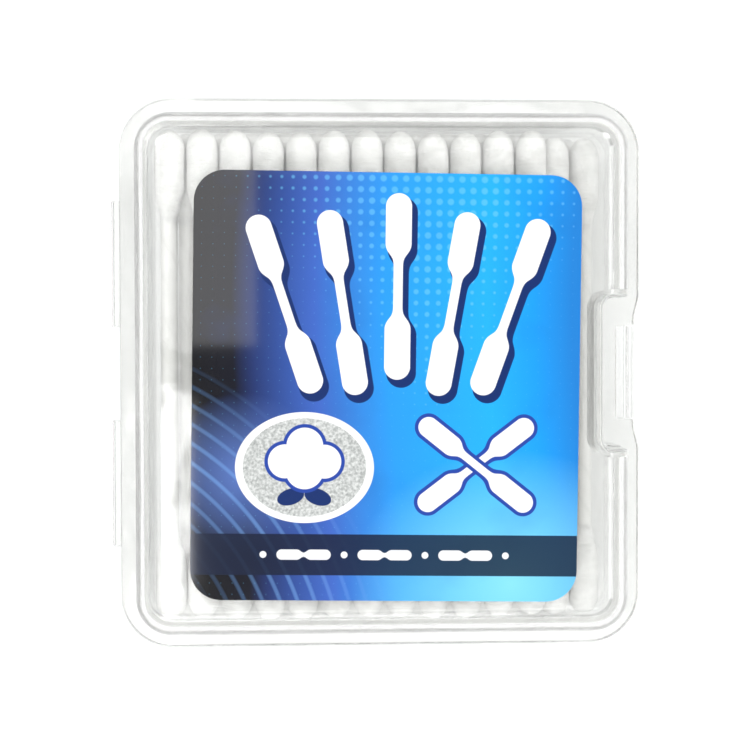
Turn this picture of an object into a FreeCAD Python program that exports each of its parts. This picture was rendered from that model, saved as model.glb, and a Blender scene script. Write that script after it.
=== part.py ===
"""Hinged clear box of cotton swabs, lying on its back with the labelled lid up.

The box is laid out around its contents. Swabs lie side by side in nested layers, and a base tray
and a lid close round them at a pair of flanges. Two thin straps fold round the left edge as the
hinge. A thumb notch runs through the right side of both halves. A tongue on the lid closes over
the base's ledge there.

Frame: the origin is the centre of the base's underside. +X points to the notch, +Y along the
swabs to the label's top edge, and +Z up through the lid. Sizes are in millimetres.
"""

import FreeCAD, Part
import os
from math import sin, sqrt

from FreeCAD import Vector

# Swabs
swab_length = 73.7
stick_diameter = 2.5
tip_diameter = 4.8
tip_length = 14.0
dome_length = 3.2
shoulder_length = 5.0
cotton_past_stick = 1.2
cotton_edge = 0.1

# How the swabs lie
swabs_in_full_layer = 13
layer_count = 4
tip_gap = 0.15
nesting_gap = 0.05
settled_towards_bottom = 0.3
end_scatter = 0.25
uncovered_slip = 0.5
uncovered_shift = 1.5

# Room that the box leaves round them
side_room = 1.5
far_side_room = 3.3
end_room = 0.95
head_room = 2.3

# Shells of the base and the lid
wall = 1.2
skin = 1.2
base_height = 13.0
corner_radius = 5.3
lid_edge_radius = 4.0
base_edge_radius = 3.0

# Flanges where the halves meet, and the lip that centres the lid
flange_width = 2.5
flange_thickness = 1.2
flange_edge_radius = 0.25
flange_gap = 0.1
lip_thickness = 0.55
lip_height = 1.4
lip_clearance = 0.15

# Thumb notch
notch_length = 22.8
notch_corner_radius = 1.6
notch_stick_clearance = 0.15
notch_step_in_base = 1.6
notch_edge_radius = 0.5
ledge_setback = 0.75
ledge_taper_length = 3.0
ledge_blend_radius = 4.0

# Snap tongue on the lid's ledge
tongue_length = 14.0
tongue_thickness = 0.9
tongue_drop = 1.7
tongue_clearance = 0.4
tongue_end_clearance = 0.3
window_width = 1.9
bead_height = 0.35
bead_gap = 0.1

# Folded straps of the hinge
strap_length = 19.0
strap_spacing = 33.2
strap_thickness = 0.4
strap_reach = 1.5

# Label on the lid
label_left_margin = 8.6
label_right_margin = 8.0
label_top_margin = 9.2
label_bottom_margin = 5.4
label_tilt_degrees = 0.85
label_corner_radius = 4.6
label_thickness = 0.12

# The swabs' lattice
swab_pitch = tip_diameter + tip_gap
nested_distance = tip_diameter + nesting_gap
layer_rise = sqrt(nested_distance**2 - (swab_pitch / 2) ** 2)
stack_height = tip_diameter + (layer_count - 1) * layer_rise

# The box that closes round it
inner_width = side_room + (swabs_in_full_layer + 0.5) * swab_pitch + far_side_room
inner_length = swab_length + 2 * end_room
inner_depth = nesting_gap + stack_height + head_room
body_width = inner_width + 2 * wall
body_length = inner_length + 2 * wall
lid_height = inner_depth + 2 * skin - base_height
parting_z = base_height
lid_top_z = base_height + lid_height
flange_edge_x = body_width / 2 + flange_width

first_swab_x = -inner_width / 2 + side_room + tip_diameter / 2
first_swab_z = skin + nesting_gap + tip_diameter / 2
last_stick_side_x = first_swab_x + (swabs_in_full_layer - 0.5) * swab_pitch + stick_diameter / 2
notch_wall_x = last_stick_side_x + notch_stick_clearance + wall
base_notch_wall_x = notch_wall_x + notch_step_in_base
ledge_edge_x = flange_edge_x - ledge_setback
tongue_inside_x = ledge_edge_x - tongue_thickness

# How far a cutting shape runs past what it cuts, and how close an edge must lie to be picked
past = 5.0
near = 0.1


def box_between(low, high):
    """A block between two opposite corners."""
    size = Vector(*high) - Vector(*low)
    return Part.makeBox(size.x, size.y, size.z, Vector(*low))


def upright_edges(shape):
    """The straight edges of a shape that run along Z."""
    return [e for e in shape.Edges if e.BoundBox.ZLength > 0.99 * e.Length]


def edges_at(shape, z):
    """The edges of a shape that lie in the level plane at z."""
    return [e for e in shape.Edges if abs(e.BoundBox.ZMin - z) + abs(e.BoundBox.ZMax - z) < 1e-3]


def rounded_plate(width, length, radius, z, thickness):
    """A plate centred on the Z axis, with its four corners rounded."""
    plate = box_between((-width / 2, -length / 2, z), (width / 2, length / 2, z + thickness))
    return plate.makeFillet(radius, upright_edges(plate))


def notch_block(wall_x, grow, z, height):
    """What a thumb notch with its wall at wall_x takes out of the box, grown sideways by an amount."""
    low_x = wall_x - grow
    half = notch_length / 2 + grow
    block = box_between((low_x, -half, z), (flange_edge_x + past, half, z + height))
    inner_corners = [e for e in upright_edges(block) if e.BoundBox.XMax < low_x + near]
    return block.makeFillet(notch_corner_radius + grow, inner_corners)


def cavity(wall_x, grow, z, height, edge_radius=0.0):
    """The room inside the walls, grown sideways by an amount, with its lower edge rounded."""
    room = rounded_plate(
        inner_width + 2 * grow, inner_length + 2 * grow, corner_radius - wall + grow, z, height
    )
    if edge_radius > 0:
        room = room.makeFillet(edge_radius, edges_at(room, z))
    return room.cut(notch_block(wall_x, wall - grow, z - past, height + 2 * past))


def flange(z):
    """The flange plate, set back along the notch, with its outer edge rounded on the side at z."""
    plate = rounded_plate(
        body_width + 2 * flange_width,
        body_length + 2 * flange_width,
        corner_radius + flange_width,
        z,
        flange_thickness,
    )
    half = notch_length / 2
    corners = [
        (flange_edge_x + past, -half - past),
        (flange_edge_x, -half),
        (ledge_edge_x, ledge_taper_length - half),
        (ledge_edge_x, half - ledge_taper_length),
        (flange_edge_x, half),
        (flange_edge_x + past, half + past),
    ]
    outline = Part.makePolygon([Vector(x, y, z) for x, y in corners + corners[:1]])
    plate = plate.cut(Part.Face(outline).extrude(Vector(0, 0, flange_thickness)))
    bends = [
        e
        for e in upright_edges(plate)
        if e.BoundBox.XMin > ledge_edge_x - near and abs(e.BoundBox.YMin) < half + near
    ]
    plate = plate.makeFillet(ledge_blend_radius, bends)
    return plate.makeFillet(flange_edge_radius, edges_at(plate, z))


def half_shell(height, edge_radius, wall_x, flange_below_rim=0.0):
    """One half of the box, open at the top: a floor, walls with the notch, and the flange.

    The notch has a rounded rim where it is deep enough to reach the flat floor.
    """
    body = rounded_plate(body_width, body_length, corner_radius, 0, height)
    body = body.makeFillet(edge_radius, edges_at(body, 0))
    body = body.cut(notch_block(wall_x, 0, -past, height + 2 * past))
    notch_rim = [e for e in edges_at(body, 0) if e.BoundBox.XMin > wall_x - near]
    if notch_rim:
        body = body.makeFillet(notch_edge_radius, notch_rim)
    body = body.fuse(flange(height - flange_thickness - flange_below_rim))
    return body.cut(cavity(wall_x, 0, skin, height, edge_radius - wall))


def base_tray():
    """The lower half, with a lip that stands inside the lid and a slot for the lid's tongue.

    Its notch is shallower than the lid's, and the lip stops on each side of it.
    """
    root = parting_z - lip_height
    lip = cavity(base_notch_wall_x, lip_thickness, root, 2 * lip_height)
    lip = lip.cut(cavity(base_notch_wall_x, 0, root - past, 3 * past))
    lip = lip.cut(notch_block(notch_wall_x, wall + lip_thickness + lip_clearance, root - past, 3 * past))
    slot_half = tongue_length / 2 + tongue_end_clearance
    slot = box_between(
        (tongue_inside_x - tongue_clearance, -slot_half, parting_z - flange_thickness - past),
        (flange_edge_x + past, slot_half, parting_z + past),
    )
    shell = half_shell(base_height, base_edge_radius, base_notch_wall_x)
    return shell.cut(slot).fuse(lip).removeSplitter()


def lid():
    """The upper half: such a shell turned over, with a rebate for the lip and the snap tongue.

    It rests on the base along its wall, and there its flange stands just clear of the base's.
    """
    shell = half_shell(lid_height, lid_edge_radius, notch_wall_x, flange_gap)
    shell = shell.mirror(Vector(0, 0, 0), Vector(0, 0, 1))
    shell.translate(Vector(0, 0, lid_top_z))
    lip_room = lip_thickness + lip_clearance
    rebate = cavity(notch_wall_x, lip_room, parting_z - past, past + lip_height + lip_clearance)
    half = tongue_length / 2
    window = box_between(
        (tongue_inside_x - window_width, -half, parting_z - past),
        (tongue_inside_x, half, parting_z + flange_thickness + past),
    )
    bead_z = parting_z - flange_thickness - bead_gap - bead_height
    tongue_bottom_z = bead_z - tongue_drop + bead_height
    tongue = box_between(
        (tongue_inside_x, -half, tongue_bottom_z),
        (ledge_edge_x, half, parting_z + flange_thickness),
    )
    bead = Part.makeCylinder(
        bead_height, tongue_length, Vector(tongue_inside_x, -half, bead_z), Vector(0, 1, 0)
    )
    return shell.cut(rebate).cut(window).fuse([tongue, bead]).removeSplitter()


def hinge_strap(centre_y):
    """A thin strap that folds out from the base's flange and back to the lid's."""
    fold_radius = flange_thickness / 2
    leg = strap_reach - fold_radius - strap_thickness / 2
    fold_x = -flange_edge_x - leg
    start_y = centre_y - strap_length / 2

    def folded_round(radius):
        bend = Part.makeCylinder(radius, strap_length, Vector(fold_x, start_y, parting_z), Vector(0, 1, 0))
        legs = box_between(
            (fold_x, start_y, parting_z - radius),
            (-flange_edge_x, start_y + strap_length, parting_z + radius),
        )
        beyond_edge = legs.copy()
        beyond_edge.translate(Vector(leg, 0, 0))
        return bend.cut(beyond_edge).fuse(legs)

    outer = folded_round(fold_radius + strap_thickness / 2)
    return outer.cut(folded_round(fold_radius - strap_thickness / 2)).removeSplitter()


def label():
    """The printed sticker on the lid's flat top, stuck on a little askew."""
    width = body_width - label_left_margin - label_right_margin
    length = body_length - label_top_margin - label_bottom_margin
    sticker = rounded_plate(width, length, label_corner_radius, lid_top_z, label_thickness)
    sticker.rotate(Vector(0, 0, 0), Vector(0, 0, 1), -label_tilt_degrees)
    across = (label_left_margin - label_right_margin) / 2
    along = (label_bottom_margin - label_top_margin) / 2
    sticker.translate(Vector(across, along, 0))
    return sticker


def cotton_tip():
    """One wound cotton tip that ends in a dome at Y = 0 and is bored for the stick from -Y."""
    stick_radius = stick_diameter / 2
    tip_radius = tip_diameter / 2
    root = -tip_length
    shoulder_end = root + shoulder_length
    dome_centre = Vector(0, -dome_length, 0)
    if dome_length > tip_radius:
        ellipse = Part.Ellipse(Vector(0, 0, 0), Vector(tip_radius, -dome_length, 0), dome_centre)
    else:
        ellipse = Part.Ellipse(Vector(tip_radius, -dome_length, 0), Vector(0, 0, 0), dome_centre)
    flank = Vector(tip_radius, -dome_length, 0)
    dome_top = Vector(0, 0, 0)
    first = ellipse.parameter(flank)
    last = ellipse.parameter(dome_top)
    dome = ellipse.toShape(min(first, last), max(first, last))
    shoulder = Part.BezierCurve()
    shoulder.setPoles(
        [
            Vector(tip_radius, shoulder_end, 0),
            Vector(tip_radius, shoulder_end - shoulder_length / 2, 0),
            Vector(stick_radius + cotton_edge, root + shoulder_length / 4, 0),
            Vector(stick_radius + cotton_edge, root, 0),
        ]
    )
    outline = [
        dome,
        Part.makeLine(flank, Vector(tip_radius, shoulder_end, 0)),
        shoulder.toShape(),
        Part.makeLine(Vector(stick_radius + cotton_edge, root, 0), Vector(stick_radius, root, 0)),
        Part.makeLine(Vector(stick_radius, root, 0), Vector(stick_radius, -cotton_past_stick, 0)),
        Part.makeLine(Vector(stick_radius, -cotton_past_stick, 0), Vector(0, -cotton_past_stick, 0)),
        Part.makeLine(Vector(0, -cotton_past_stick, 0), dome_top),
    ]
    profile = Part.Face(Part.Wire(Part.__sortEdges__(outline)))
    return profile.revolve(Vector(0, 0, 0), Vector(0, 1, 0), 360)


def swab():
    """One swab along Y, centred on the origin: a paper stick and a cotton tip on each end."""
    stick_length = swab_length - 2 * cotton_past_stick
    stick = Part.makeCylinder(
        stick_diameter / 2, stick_length, Vector(0, -stick_length / 2, 0), Vector(0, 1, 0)
    )
    upper_tip = cotton_tip()
    upper_tip.translate(Vector(0, swab_length / 2, 0))
    lower_tip = upper_tip.copy()
    lower_tip.rotate(Vector(0, 0, 0), Vector(0, 0, 1), 180)
    return Part.makeCompound([stick, upper_tip, lower_tip])


def swab_places():
    """The centre of each swab, layer by layer from the bottom.

    Every second layer holds one swab fewer and lies in the hollows of the one below. The top
    layer has moved up to the left wall. The two swabs that it leaves uncovered on the right have
    slid to the bottom end and to the right, and rest on the last swab of the layer below them.
    """
    top = layer_count - 1
    last_below_x = first_swab_x + (swabs_in_full_layer - 1) * swab_pitch
    for layer in range(layer_count):
        hollows = layer % 2
        first = hollows if layer < top else 0
        for place in range(first, first + swabs_in_full_layer - hollows):
            x = first_swab_x + (place + (1 - hollows) / 2) * swab_pitch
            y = -settled_towards_bottom + end_scatter * sin(5 * place + 3 * layer)
            z = first_swab_z + layer * layer_rise
            if layer == top - 1 and place > swabs_in_full_layer - 3:
                x += uncovered_shift
                y = -settled_towards_bottom - uncovered_slip
                z += sqrt(nested_distance**2 - (x - last_below_x) ** 2) - layer_rise
            yield Vector(x, y, z)


def placed(shape, centre):
    """A copy of a shape moved to a centre."""
    moved = shape.copy()
    moved.translate(centre)
    return moved


nodes = {
    "base_tray": base_tray(),
    "lid": lid(),
    "label": label(),
    "hinge_strap_upper": hinge_strap(strap_spacing / 2),
    "hinge_strap_lower": hinge_strap(-strap_spacing / 2),
}
one_swab = swab()
for number, centre in enumerate(swab_places(), start=1):
    nodes[f"swab_{number:02d}"] = placed(one_swab, centre)

os.makedirs("parts", exist_ok=True)
for name, shape in nodes.items():
    shape.exportStep(f"parts/{name}.step")
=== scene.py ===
from math import cos, pi, radians, sin, sqrt

import bpy
import numpy as np
from mathutils import Matrix, Vector


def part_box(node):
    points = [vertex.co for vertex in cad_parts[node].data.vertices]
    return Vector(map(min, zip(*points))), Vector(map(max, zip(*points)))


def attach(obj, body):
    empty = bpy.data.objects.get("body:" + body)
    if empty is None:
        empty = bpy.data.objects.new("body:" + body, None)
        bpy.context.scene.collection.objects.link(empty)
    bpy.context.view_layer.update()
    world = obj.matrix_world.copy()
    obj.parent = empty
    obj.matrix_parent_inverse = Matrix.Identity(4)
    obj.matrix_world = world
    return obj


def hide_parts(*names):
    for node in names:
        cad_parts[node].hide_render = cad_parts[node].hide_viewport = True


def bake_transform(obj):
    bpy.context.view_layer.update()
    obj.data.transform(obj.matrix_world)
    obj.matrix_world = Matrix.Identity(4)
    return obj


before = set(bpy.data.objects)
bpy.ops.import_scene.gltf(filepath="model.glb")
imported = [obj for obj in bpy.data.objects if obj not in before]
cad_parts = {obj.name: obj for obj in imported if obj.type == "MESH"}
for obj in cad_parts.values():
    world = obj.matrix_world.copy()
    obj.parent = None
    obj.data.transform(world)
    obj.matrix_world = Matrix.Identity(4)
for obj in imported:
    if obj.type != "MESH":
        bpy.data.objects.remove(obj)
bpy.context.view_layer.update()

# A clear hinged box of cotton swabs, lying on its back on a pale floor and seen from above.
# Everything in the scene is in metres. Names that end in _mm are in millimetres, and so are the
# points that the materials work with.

MM = 0.001
MM_IN_METRE = 1000.0
scene = bpy.context.scene

# A swab's cotton tip and its stick
TIP_RADIUS_MM = 2.4
TIP_DOME_MM = 3.2
TIP_LENGTH_MM = 14.0
TIP_SHOULDER_MM = 5.6
TIP_INSET_MM = 0.02
STICK_RADIUS_MM = 1.25
STICK_COVERED_MM = 12.0
COTTON_OVER_STICK_MM = 0.06

# The unevenness of wound cotton: waves round a tip, their slant along it and their height
TIP_WAVES = (
    (1, 0.25, 1.0),
    (2, -0.4, 1.0),
    (3, 0.9, 0.7),
    (5, -1.6, 0.45),
    (1, 3.9, 0.5),
    (2, -4.6, 0.4),
    (7, 2.3, 0.3),
)

FIRST_SEED = 100
TURN_BETWEEN_SWABS = 2.4
LABEL_TILT_DEGREES = 0.85


# Node arithmetic

class Number:
    """A number in a material's node tree. Arithmetic on it adds the nodes that work it out."""

    def __init__(self, tree, source):
        self.tree = tree
        self.source = source

    def node(self, operation, *values, clamp=False):
        made = self.tree.nodes.new("ShaderNodeMath")
        made.operation = operation
        made.use_clamp = clamp
        for slot, value in zip(made.inputs, (self, *values)):
            if isinstance(value, Number):
                self.tree.links.new(value.source, slot)
            else:
                slot.default_value = value
        return Number(self.tree, made.outputs[0])

    def __add__(self, other):
        return self.node("ADD", other)

    def __sub__(self, other):
        return self.node("SUBTRACT", other)

    def __mul__(self, other):
        return self.node("MULTIPLY", other)

    def absolute(self):
        return self.node("ABSOLUTE")

    def least(self, other):
        return self.node("MINIMUM", other)

    def most(self, other):
        return self.node("MAXIMUM", other)

    def between(self, low, high):
        return self.most(low).least(high)

    def squared(self):
        return self.node("MULTIPLY", self)

    def root(self):
        return self.node("SQRT")

    def sine(self):
        return self.node("SINE")

    def cosine(self):
        return self.node("COSINE")


def length_of(x, y):
    """The length of the vector (x, y)."""
    return (x.squared() + y.squared()).root()


def inside(distance, soft=0.05):
    """One where a signed distance in millimetres is below zero, with an edge that soft."""
    return distance.node("MULTIPLY_ADD", -0.5 / soft, 0.5, clamp=True)


def falloff(distance, reach):
    """One at no distance, falling evenly to zero at a reach in millimetres."""
    return (distance * (-1 / reach) + 1.0).between(0.0, 1.0)


def srgb(red, green, blue):
    """A linear colour from the values that a picture of it has, from 0 to 255."""
    def linear(value):
        value /= 255
        return value / 12.92 if value <= 0.04045 else ((value + 0.055) / 1.055) ** 2.4

    return (linear(red), linear(green), linear(blue), 1.0)


class Surface:
    """A material with one Principled shader, and short calls for the nodes that feed it."""

    def __init__(self, name, **plain):
        self.material = bpy.data.materials.new(name)
        self.material.use_nodes = True
        self.tree = self.material.node_tree
        self.shader = self.tree.nodes["Principled BSDF"]
        self.output = self.tree.nodes["Material Output"]
        for socket, value in plain.items():
            self.shader.inputs[socket.replace("_", " ")].default_value = value

    def add(self, kind, **settings):
        node = self.tree.nodes.new("ShaderNode" + kind)
        for name, value in settings.items():
            setattr(node, name, value)
        return node

    def feed(self, socket, slot):
        self.tree.links.new(socket, slot)

    def place(self, scale=1.0):
        """The point on the object, in its own coordinates times a scale."""
        point = self.add("TexCoord").outputs["Object"]
        grown = self.add("VectorMath", operation="SCALE")
        self.feed(point, grown.inputs[0])
        grown.inputs["Scale"].default_value = scale
        return grown.outputs[0]

    def parts(self, vector):
        split = self.add("SeparateXYZ")
        self.feed(vector, split.inputs[0])
        return [Number(self.tree, out) for out in split.outputs]

    def noise(self, vector, scale, detail=3.0, roughness=0.5):
        node = self.add("TexNoise")
        self.feed(vector, node.inputs["Vector"])
        node.inputs["Scale"].default_value = scale
        node.inputs["Detail"].default_value = detail
        node.inputs["Roughness"].default_value = roughness
        return Number(self.tree, node.outputs[0])

    def ramp(self, number, stops, smooth=True):
        node = self.add("ValToRGB")
        self.feed(number.source, node.inputs[0])
        ramp = node.color_ramp
        ramp.interpolation = "B_SPLINE" if smooth else "LINEAR"
        while len(ramp.elements) < len(stops):
            ramp.elements.new(0.5)
        for element, (position, colour) in zip(ramp.elements, stops):
            element.position = position
            element.color = colour
        return node.outputs[0]

    def over(self, below, colour, share):
        """A colour laid over another with a share from 0 to 1."""
        node = self.add("Mix", data_type="RGBA")
        self.feed(share.source, node.inputs[0])
        for value, slot in ((below, node.inputs[6]), (colour, node.inputs[7])):
            if isinstance(value, tuple):
                slot.default_value = value
            else:
                self.feed(value, slot)
        return node.outputs[2]

    def bump(self, height, strength, distance):
        node = self.add("Bump")
        self.feed(height.source, node.inputs["Height"])
        node.inputs["Strength"].default_value = strength
        node.inputs["Distance"].default_value = distance
        self.feed(node.outputs[0], self.shader.inputs["Normal"])

    def colour(self, socket):
        self.feed(socket, self.shader.inputs["Base Color"])


# Clear plastic

def clear_plastic():
    """Slightly milky polypropylene that light passes, with gloss, refraction and moulding flow."""
    made = Surface("clear_plastic", Transmission_Weight=0.94, IOR=1.49)
    point = made.place(MM_IN_METRE)
    flow = made.noise(point, scale=0.05, detail=4.0)
    made.colour(made.ramp(flow, [(0.3, (0.845, 0.847, 0.836, 1)), (0.7, (0.910, 0.913, 0.902, 1))]))
    haze = made.noise(point, scale=0.6, detail=5.0, roughness=0.6)
    made.feed((haze * 0.09 + 0.03).source, made.shader.inputs["Roughness"])
    made.bump(made.noise(point, scale=0.12, detail=2.0), strength=0.25, distance=0.0004)

    # Light that casts shadows passes nearly whole
    clear = made.add("BsdfTransparent")
    clear.inputs[0].default_value = (0.97, 0.975, 0.977, 1)
    path = made.add("LightPath")
    mix = made.add("MixShader")
    made.feed(path.outputs["Is Shadow Ray"], mix.inputs[0])
    made.feed(made.shader.outputs[0], mix.inputs[1])
    made.feed(clear.outputs[0], mix.inputs[2])
    made.feed(mix.outputs[0], made.output.inputs["Surface"])
    return made.material


# Cotton and paper

def cotton():
    """White wound cotton: matt, soft at the edges, with fine fibres that run round it askew."""
    made = Surface(
        "cotton", Roughness=0.95, Sheen_Weight=0.35, Sheen_Roughness=0.5, Subsurface_Weight=0.25,
        Subsurface_Radius=(1.0, 0.97, 0.94), Subsurface_Scale=0.0005, Specular_IOR_Level=0.15,
    )
    point = made.place(MM_IN_METRE)
    x, along, z = made.parts(point)
    turn = x.node("ARCTAN2", z)
    wound = turn + along * 0.35
    wisps = made.add("CombineXYZ")
    made.feed((wound.sine() * 1.3).source, wisps.inputs[0])
    made.feed((wound.cosine() * 1.3).source, wisps.inputs[1])
    made.feed((along * 2.6 + turn.sine() * 0.5).source, wisps.inputs[2])
    fibres = made.noise(wisps.outputs[0], scale=1.1, detail=6.0, roughness=0.68)
    lumps = made.noise(point, scale=0.55, detail=3.0)
    fuzz = made.noise(point, scale=5.0, detail=4.0, roughness=0.7)
    shade = fibres * 0.65 + lumps * 0.35
    made.colour(made.ramp(shade, [(0.36, (0.60, 0.60, 0.585, 1)), (0.56, (0.79, 0.79, 0.775, 1))]))
    made.bump(fibres * 0.75 + lumps * 0.5 + fuzz * 0.25, strength=0.85, distance=0.0004)
    return made.material


def paper():
    """White rolled paper with a faint spiral seam."""
    made = Surface("rolled_paper", Roughness=0.7, Specular_IOR_Level=0.3)
    point = made.place(MM_IN_METRE)
    x, along, z = made.parts(point)
    turn = x.node("ARCTAN2", z)
    seam = (turn + along * 0.55).sine().node("POWER", 24.0)
    fibre = made.noise(point, scale=3.0, detail=4.0)
    below = made.ramp(fibre, [(0.3, (0.67, 0.67, 0.65, 1)), (0.7, (0.75, 0.75, 0.73, 1))])
    made.colour(made.over(below, (0.6, 0.6, 0.58, 1), seam * 0.5))
    made.bump(seam * -1.0 + fibre * 0.3, strength=0.4, distance=0.00005)
    return made.material


# Printed label, drawn in millimetres from its middle

def capsule(x, y, reach, radius):
    """Signed distance to a bar along X from the middle out to a reach, with round ends."""
    return length_of((x.absolute() - reach).most(0.0), y) - radius


def swab_shape(along, across, length, stick_radius, tip_radius):
    """Signed distance to a drawn cotton swab that lies along the first coordinate."""
    reach = length / 2 - tip_radius
    tip_half = tip_radius * 1.45
    stick = capsule(along, across, reach, stick_radius)
    tip = capsule(along.absolute() - (reach - tip_half), across, tip_half, tip_radius)
    return stick.node("SMOOTH_MIN", tip, tip_radius)


def swab_at(x, y, centre, degrees, **sizes):
    """A drawn swab with its middle at a centre, turned from level by an angle."""
    turn = radians(degrees)
    right = x - centre[0]
    up = y - centre[1]
    along = right * cos(turn) + up * sin(turn)
    across = up * cos(turn) - right * sin(turn)
    return swab_shape(along, across, **sizes)


def swab_fan(x, y, pivot, count, step_degrees, distance, every_second, **sizes):
    """Drawn swabs spread like a fan round a pivot, every second one a little further out."""
    step = radians(step_degrees)
    right = x - pivot[0]
    up = y - pivot[1]
    turn = right.node("ARCTAN2", up)
    place = (turn * (1 / step)).node("ROUND").between(-(count // 2), count // 2)
    local = turn - place * step
    radius = length_of(right, up)
    out = radius * local.cosine() - (place * pi).cosine() * every_second - distance
    return swab_shape(out, radius * local.sine(), **sizes)


def union(shapes):
    """Signed distance to the nearest of several shapes."""
    joined = shapes[0]
    for shape in shapes[1:]:
        joined = joined.least(shape)
    return joined


def label_ground(made, point, x, y):
    """The printed ground: near black on the left to azure, with ripples, dots and a glow."""
    sway = (y * 0.07 + 0.6).sine() * 1.6
    across = (x + sway) * (1 / 58.0) + 0.5
    ground = made.ramp(across, [
        (0.02, srgb(9, 9, 14)),
        (0.13, srgb(14, 16, 30)),
        (0.18, srgb(32, 50, 104)),
        (0.34, srgb(62, 100, 188)),
        (0.52, srgb(40, 150, 232)),
        (0.78, srgb(34, 170, 245)),
        (0.90, srgb(26, 152, 236)),
        (1.0, srgb(34, 126, 206)),
    ], smooth=False)
    low_right = falloff(length_of(x - 19.0, (y + 29.0) * 1.2), 24.0)
    ground = made.over(ground, srgb(140, 222, 246), low_right * 0.85)
    low_left = falloff(length_of(x + 21.0, y + 13.0), 12.0)
    ground = made.over(ground, srgb(96, 128, 204), low_left * 0.8)

    from_corner = length_of(x + 52.0, y + 46.0)
    ripple = ((from_corner * 2.6).sine() * 2.2 - 1.15).between(0.0, 1.0)
    ripple_fade = falloff((from_corner - 42.0).absolute(), 13.0)
    ground = made.over(ground, srgb(120, 170, 232), ripple * ripple_fade * 0.4)

    dots_per_mm = 0.6
    dot_x = (x * dots_per_mm).node("FRACT") - 0.5
    dot_y = (y * dots_per_mm).node("FRACT") - 0.5
    dot_size = ((x - 6.0).absolute() * -0.014 + y * 0.011 + 0.09).between(0.0, 0.28)
    dots = inside(length_of(dot_x, dot_y) - dot_size, 0.07)
    ground = made.over(ground, srgb(116, 204, 248), dots * 0.4)

    cloud = ((made.noise(point, scale=0.09, detail=3.0) - 0.52) * 3.0).between(0.0, 1.0)
    return made.over(ground, srgb(20, 60, 140), cloud * 0.22)


def label_print(centre, tilt_degrees):
    """Glossy film over print: a fan of white swabs, a badge with a cotton boll and a dark band."""
    made = Surface(
        "label_print", Roughness=0.3, Coat_Weight=1.0, Coat_Roughness=0.05, Specular_IOR_Level=0.1
    )
    mapping = made.add("Mapping")
    made.feed(made.add("TexCoord").outputs["Object"], mapping.inputs["Vector"])
    angle = radians(tilt_degrees)
    mapping.inputs["Scale"].default_value = (MM_IN_METRE, MM_IN_METRE, MM_IN_METRE)
    mapping.inputs["Rotation"].default_value = (0, 0, angle)
    mapping.inputs["Location"].default_value = (
        -MM_IN_METRE * (centre.x * cos(angle) - centre.y * sin(angle)),
        -MM_IN_METRE * (centre.x * sin(angle) + centre.y * cos(angle)),
        0,
    )
    point = mapping.outputs[0]
    x, y, _ = made.parts(point)
    white = (0.93, 0.93, 0.93, 1)
    band_white = (0.86, 0.87, 0.9, 1)
    sticky_grey = (0.56, 0.58, 0.62, 1)
    navy = srgb(20, 46, 104)
    band_navy = srgb(17, 28, 54)
    blue = srgb(40, 70, 160)
    outline = 0.55
    picture = label_ground(made, point, x, y)

    # Fan of swabs with a shadow to its lower right
    fan = {
        "pivot": (1.5, -36.0), "count": 5, "step_degrees": 9.6, "distance": 50.0, "every_second": 0.9,
        "length": 27.5, "stick_radius": 0.68, "tip_radius": 1.9,
    }
    picture = made.over(picture, navy, inside(swab_fan(x - 0.6, y + 0.9, **fan) - 0.3))
    picture = made.over(picture, white, inside(swab_fan(x, y, **fan)))

    # Badge with a cotton boll on two leaves
    badge_x = x + 12.0
    badge_y = y + 12.0
    leaf_y = y + 15.4
    badge = length_of(badge_x * 0.8, badge_y) - 8.2
    grain = made.noise(point, scale=2.6, detail=4.0)
    silver = made.ramp(grain, [(0.35, srgb(148, 152, 150)), (0.65, srgb(226, 228, 226))])
    picture = made.over(picture, white, inside(badge))
    picture = made.over(picture, silver, inside(badge + 0.9))
    puffs = union([
        length_of(badge_x - right, badge_y - up) - radius
        for right, up, radius in ((0.0, 3.2, 2.7), (-2.9, 0.9, 2.5), (2.9, 0.9, 2.5), (0.0, -0.4, 2.8))
    ])
    leaves = union([
        length_of(
            (badge_x - side * 2.7) * 0.8 - leaf_y * side * 0.6,
            leaf_y * 1.5 + badge_x * side * 0.7,
        ) - 2.0
        for side in (-1, 1)
    ])
    picture = made.over(picture, navy, inside(leaves))
    picture = made.over(picture, blue, inside(puffs - outline))
    picture = made.over(picture, white, inside(puffs))

    # Two crossed swabs
    for degrees in (38, 142):
        shape = swab_at(
            x, y, (13.4, -11.4), degrees, length=21.0, stick_radius=0.55, tip_radius=1.5
        )
        picture = made.over(picture, blue, inside(shape - outline))
        picture = made.over(picture, white, inside(shape))

    # Dark band with a row of small swabs and dots
    band_y = y + 24.9
    repeat_mm = 12.0
    band = inside(band_y.absolute() - 3.05)
    picture = made.over(picture, band_navy, band * 0.94)
    repeat = ((x + repeat_mm / 2) * (1 / repeat_mm)).node("FRACT") * repeat_mm - repeat_mm / 2
    small = swab_shape(repeat, band_y, length=8.0, stick_radius=0.28, tip_radius=0.75)
    spots = length_of(repeat.absolute() - repeat_mm / 2, band_y) - 0.5
    row = inside(small.least(spots)) * inside(x.absolute() - 18.6)
    picture = made.over(picture, band_white, row)

    # The sticky side, which shows through the open lid, is plain pale grey
    facing_up = made.parts(made.add("TexCoord").outputs["Normal"])[2]
    underside = (facing_up * -4.0 - 1.0).between(0.0, 1.0)
    made.colour(made.over(picture, sticky_grey, underside))
    made.bump(made.noise(point, scale=0.25, detail=2.0), strength=0.1, distance=0.0003)
    return made.material


# Meshes

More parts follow.
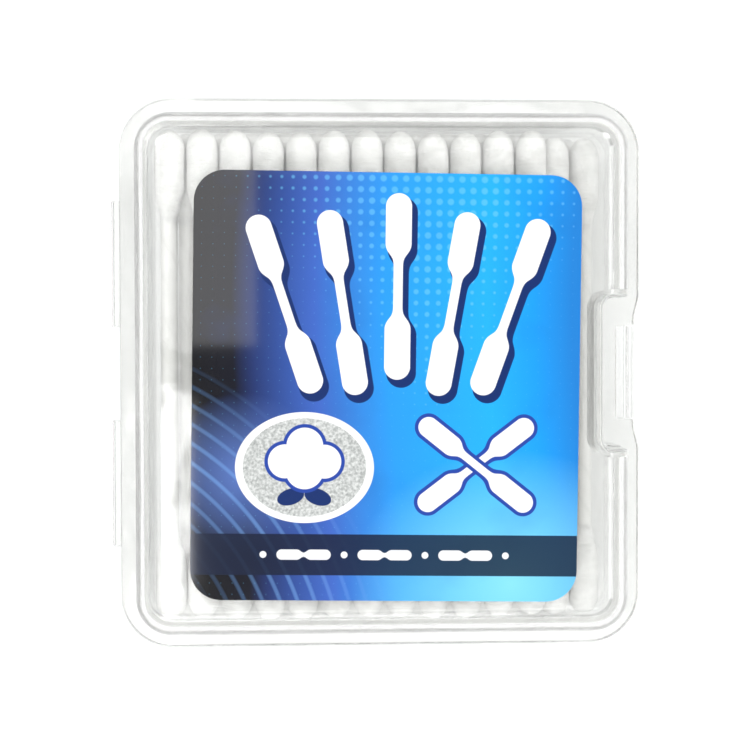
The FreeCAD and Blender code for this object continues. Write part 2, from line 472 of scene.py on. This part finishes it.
def mesh_object(name, points, faces, materials, material_of_face=None):
    mesh = bpy.data.meshes.new(name)
    mesh.from_pydata([tuple(p) for p in points], [], [tuple(f) for f in faces])
    for material in materials:
        mesh.materials.append(material)
    if material_of_face is not None:
        mesh.polygons.foreach_set("material_index", np.asarray(material_of_face, np.int32))
    mesh.polygons.foreach_set("use_smooth", np.full(len(mesh.polygons), True))
    mesh.update()
    made = bpy.data.objects.new(name, mesh)
    scene.collection.objects.link(made)
    return made


def ring_faces(rings, around, first=0):
    """Quads between rings of points that follow each other."""
    faces = []
    for ring in range(rings - 1):
        for step in range(around):
            after = (step + 1) % around
            low = first + ring * around
            faces.append((low + step, low + around + step, low + around + after, low + after))
    return faces


def tip_radius_mm(along):
    """The radius of a cotton tip at a distance from its rounded end, in millimetres."""
    if along < TIP_DOME_MM:
        return TIP_RADIUS_MM * sqrt(max(0.0, 1 - ((TIP_DOME_MM - along) / TIP_DOME_MM) ** 2))
    if along < TIP_LENGTH_MM - TIP_SHOULDER_MM:
        return TIP_RADIUS_MM
    share = (along - TIP_LENGTH_MM + TIP_SHOULDER_MM) / TIP_SHOULDER_MM
    last = STICK_RADIUS_MM + COTTON_OVER_STICK_MM
    return last + (TIP_RADIUS_MM - last) * (1 - share * share * (3 - 2 * share))


def cotton_tip_points(random, around=44, rings=52):
    """Points of one cotton tip along -Y with its rounded end at Y = 0, uneven as wound cotton is."""
    crowding_at_dome = 1.35
    mean_size = 0.97
    unevenness = 0.011
    phases = random.uniform(0, 2 * pi, len(TIP_WAVES))
    sizes = random.uniform(0.4, 1.0, len(TIP_WAVES))
    points = []
    for ring in range(rings):
        along = TIP_LENGTH_MM * (ring / (rings - 1)) ** crowding_at_dome
        base = tip_radius_mm(along)
        for step in range(around):
            turn = 2 * pi * step / around
            uneven = sum(
                size * height * sin(times * turn + phase + slant * along)
                for (times, slant, height), phase, size in zip(TIP_WAVES, phases, sizes)
            )
            radius = base * (mean_size + unevenness * uneven) if ring else 0.0
            points.append((radius * cos(turn), -along, radius * sin(turn)))
    return np.array(points), ring_faces(rings, around)


def swab_piece(name, centre, length_mm, random, materials):
    """One swab along Y: a paper stick and two wound tips, in one mesh with its origin at its middle."""
    points, faces, kinds = [], [], []
    for end in (1, -1):
        tip, tip_faces = cotton_tip_points(random)
        tip[:, 1] += length_mm / 2 - TIP_INSET_MM
        tip[:, 1] *= end
        tip[:, 0] *= end
        first = sum(len(p) for p in points)
        points.append(tip)
        faces += [tuple(first + v for v in face) for face in tip_faces]
        kinds += [0] * len(tip_faces)
    around = 24
    rings = 9
    half = length_mm / 2 - STICK_COVERED_MM
    first = sum(len(p) for p in points)
    stick = []
    for y in np.linspace(half, -half, rings):
        for step in range(around):
            turn = 2 * pi * step / around
            stick.append((STICK_RADIUS_MM * cos(turn), y, STICK_RADIUS_MM * sin(turn)))
    points.append(np.array(stick))
    stick_faces = ring_faces(rings, around, first)
    faces += stick_faces
    kinds += [1] * len(stick_faces)
    made = mesh_object(name, np.vstack(points) * MM, faces, materials, kinds)
    made.location = centre
    return made


def strap_piece(name, node, material):
    """A living hinge: a strap folded in a C, thinned at the fold and flared where it meets the flanges."""
    half_web = 0.0002
    half_eased = 0.00021
    half_flared = 0.00027
    thinned_by = 0.00006
    into_flange = 0.00004
    flare_length = 0.00012
    end_margins = (0.0001, 0.0006)
    fold_steps = 16

    low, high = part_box(node)
    middle_z = (low.z + high.z) / 2
    edge_x = high.x
    fold_radius = (high.z - low.z) / 2 - half_web
    fold_x = low.x + (high.z - low.z) / 2

    # The strap's middle line in X and Z, each point with half the thickness there
    path = [
        (edge_x + into_flange, -fold_radius, half_flared),
        (edge_x - flare_length, -fold_radius, half_eased),
        (fold_x, -fold_radius, half_web),
    ]
    for step in range(1, fold_steps):
        turn = pi * step / fold_steps
        thin = half_web - thinned_by * sin(turn) ** 6
        path.append((fold_x - fold_radius * sin(turn), -fold_radius * cos(turn), thin))
    path += [
        (fold_x, fold_radius, half_web),
        (edge_x - flare_length, fold_radius, half_eased),
        (edge_x + into_flange, fold_radius, half_flared),
    ]
    xz = np.array([(x, z) for x, z, _ in path])
    ahead = np.gradient(xz, axis=0)
    ahead /= np.linalg.norm(ahead, axis=1)[:, None]
    outward = np.stack([-ahead[:, 1], ahead[:, 0]], axis=1)
    half = np.array([h for _, _, h in path])[:, None]
    loop = np.vstack([xz + outward * half, (xz - outward * half)[::-1]])

    stations = [low.y, low.y + end_margins[0]]
    stations += list(np.linspace(low.y + end_margins[1], high.y - end_margins[1], 9))
    stations += [high.y - end_margins[0], high.y]
    points = [(x, y, z + middle_z) for y in stations for x, z in loop]
    around = len(loop)
    faces = ring_faces(len(stations), around)
    for first in (0, (len(stations) - 1) * around):
        for step in range(len(path) - 1):
            quad = (first + step, first + step + 1, first + around - 2 - step, first + around - 1 - step)
            faces.append(quad if first == 0 else quad[::-1])
    made = mesh_object(name, points, faces, [material])
    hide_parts(node)
    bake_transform(made)


def label_film(name, node, material):
    """The sticker, its underside just clear of the lid that it lies on."""
    clear_of_lid = 0.04 * MM
    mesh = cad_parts[node].data.copy()
    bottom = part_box(node)[0].z
    for vertex in mesh.vertices:
        if vertex.co.z < bottom + clear_of_lid:
            vertex.co.z = bottom + clear_of_lid
    mesh.materials.clear()
    mesh.materials.append(material)
    made = bpy.data.objects.new(name, mesh)
    scene.collection.objects.link(made)
    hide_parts(node)
    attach(made, "lid")


def give(node, material):
    """A material for a CAD node that keeps its solid."""
    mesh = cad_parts[node].data
    mesh.materials.clear()
    mesh.materials.append(material)


# The object

plastic = clear_plastic()
cotton_material = cotton()
paper_material = paper()

give("base_tray", plastic)
give("lid", plastic)
label_low, label_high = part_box("label")
label_film("label_film", "label", label_print((label_low + label_high) / 2, LABEL_TILT_DEGREES))

for node in sorted(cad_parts):
    if not node.startswith("swab_"):
        continue
    low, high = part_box(node)
    number = int(node.split("_")[1])
    piece = swab_piece(
        f"cotton_{node}",
        (low + high) / 2,
        (high.y - low.y) / MM,
        np.random.default_rng(FIRST_SEED + number),
        [cotton_material, paper_material],
    )
    piece.rotation_euler = (0, number * TURN_BETWEEN_SWABS, 0)
    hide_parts(node)
    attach(piece, "base")

strap_piece("strap_web_upper", "hinge_strap_upper", plastic)
strap_piece("strap_web_lower", "hinge_strap_lower", plastic)


# Floor, light and camera

# Each softbox's name, place, the point that it faces, width, height and radiance
SOFTBOXES = (
    ("left_softbox", (-0.0415, 0.0977, 0.42), (-0.0415, 0.0977, 0), 0.038, 0.195, 2.3),
    ("far_left_softbox", (-0.142, 0.0, 0.43), (-0.142, 0.0, 0), 0.12, 0.26, 3.0),
    ("corner_softbox", (-0.13, 0.13, 0.41), (-0.13, 0.13, 0), 0.12, 0.10, 6.0),
    ("front_softbox", (-0.01, -0.142, 0.43), (-0.01, -0.142, 0), 0.24, 0.09, 2.6),
    ("front_window", (-0.06, -0.30, 0.36), (-0.06, 0, 0), 0.26, 0.11, 6.0),
    ("left_strip", (-0.0536, -0.0635, 0.43), (-0.0536, -0.0635, 0), 0.0138, 0.087, 11.0),
    ("back_strip", (0.0325, 0.079, 0.43), (0.0325, 0.079, 0), 0.13, 0.0285, 2.2),
    ("right_window", (0.30, -0.005, 0.36), (0, -0.005, 0), 0.19, 0.10, 6.0),
    ("right_corner_softbox", (0.20, 0.19, 0.32), (0, 0, 0), 0.08, 0.08, 12.0),
)

# The studio all round: a place from the horizon, 0, to straight overhead, 1, and its grey
STUDIO_GREYS = ((0.0, 0.56), (0.35, 0.62), (0.75, 0.62), (0.9, 0.60), (0.962, 0.14), (1.0, 0.11))


def area_light(name, place, target, width, height, radiance):
    """A softbox of so many metres that shines with the given radiance."""
    lamp = bpy.data.lights.new(name, "AREA")
    lamp.shape = "RECTANGLE"
    lamp.size = width
    lamp.size_y = height
    lamp.energy = radiance * pi * width * height
    made = bpy.data.objects.new(name, lamp)
    made.location = place
    away = Vector(place) - Vector(target)
    made.rotation_euler = away.to_track_quat("Z", "Y").to_euler()
    scene.collection.objects.link(made)


def floor():
    """A pale floor, a hair under the box so that no faces touch."""
    made = Surface("pale_floor", Roughness=0.8, Specular_IOR_Level=0.1)
    fine = made.noise(made.place(), scale=6.0, detail=3.0)
    made.colour(made.ramp(fine, [(0.3, (0.97, 0.97, 0.97, 1)), (0.7, (0.985, 0.985, 0.985, 1))]))
    reach = 3.0
    height = -0.00015
    corners = [(x * reach, y * reach, height) for x, y in ((-1, -1), (1, -1), (1, 1), (-1, 1))]
    mesh_object("floor", corners, [(0, 1, 2, 3)], [made.material])


def world_light():
    """A soft studio all round, brightest halfway up and dark straight overhead."""
    world = bpy.data.worlds.new("studio")
    scene.world = world
    world.use_nodes = True
    tree = world.node_tree
    back = tree.nodes["Background"]
    point = tree.nodes.new("ShaderNodeTexCoord")
    split = tree.nodes.new("ShaderNodeSeparateXYZ")
    ramp = tree.nodes.new("ShaderNodeValToRGB")
    tree.links.new(point.outputs["Generated"], split.inputs[0])
    tree.links.new(split.outputs["Z"], ramp.inputs[0])
    tree.links.new(ramp.outputs[0], back.inputs["Color"])
    while len(ramp.color_ramp.elements) < len(STUDIO_GREYS):
        ramp.color_ramp.elements.new(0.5)
    for element, (position, grey) in zip(ramp.color_ramp.elements, STUDIO_GREYS):
        element.position = position
        element.color = (grey, grey, grey * 1.01, 1)


def camera():
    """The photograph's view: nearly straight down, from a little to the left and above the middle."""
    place = Vector((-16.451, 7.205, 300.0)) * MM
    target = Vector((-1.42, -0.083, 22.08)) * MM
    roll = radians(-0.139)
    focal_length_in_pixels = 1882.8
    photo_width_in_pixels = 750
    data = bpy.data.cameras.new("camera")
    data.sensor_width = 36.0
    data.lens = data.sensor_width * focal_length_in_pixels / photo_width_in_pixels
    data.clip_start = 0.01
    made = bpy.data.objects.new("camera", data)
    forward = (target - place).normalized()
    right = forward.cross(Vector((0, 1, 0))).normalized()
    up = right.cross(forward)
    turned_right = right * cos(roll) + up * sin(roll)
    turned_up = up * cos(roll) - right * sin(roll)
    made.matrix_world = Matrix((
        (turned_right.x, turned_up.x, -forward.x, place.x),
        (turned_right.y, turned_up.y, -forward.y, place.y),
        (turned_right.z, turned_up.z, -forward.z, place.z),
        (0, 0, 0, 1),
    ))
    scene.collection.objects.link(made)
    scene.camera = made


floor()
world_light()
for softbox in SOFTBOXES:
    area_light(*softbox)
camera()

scene.view_settings.view_transform = "Standard"
scene.view_settings.look = "None"
scene.cycles.max_bounces = 20
scene.cycles.transmission_bounces = 18
scene.cycles.glossy_bounces = 6
scene.cycles.diffuse_bounces = 3
scene.cycles.transparent_max_bounces = 24
scene.cycles.sample_clamp_indirect = 6.0
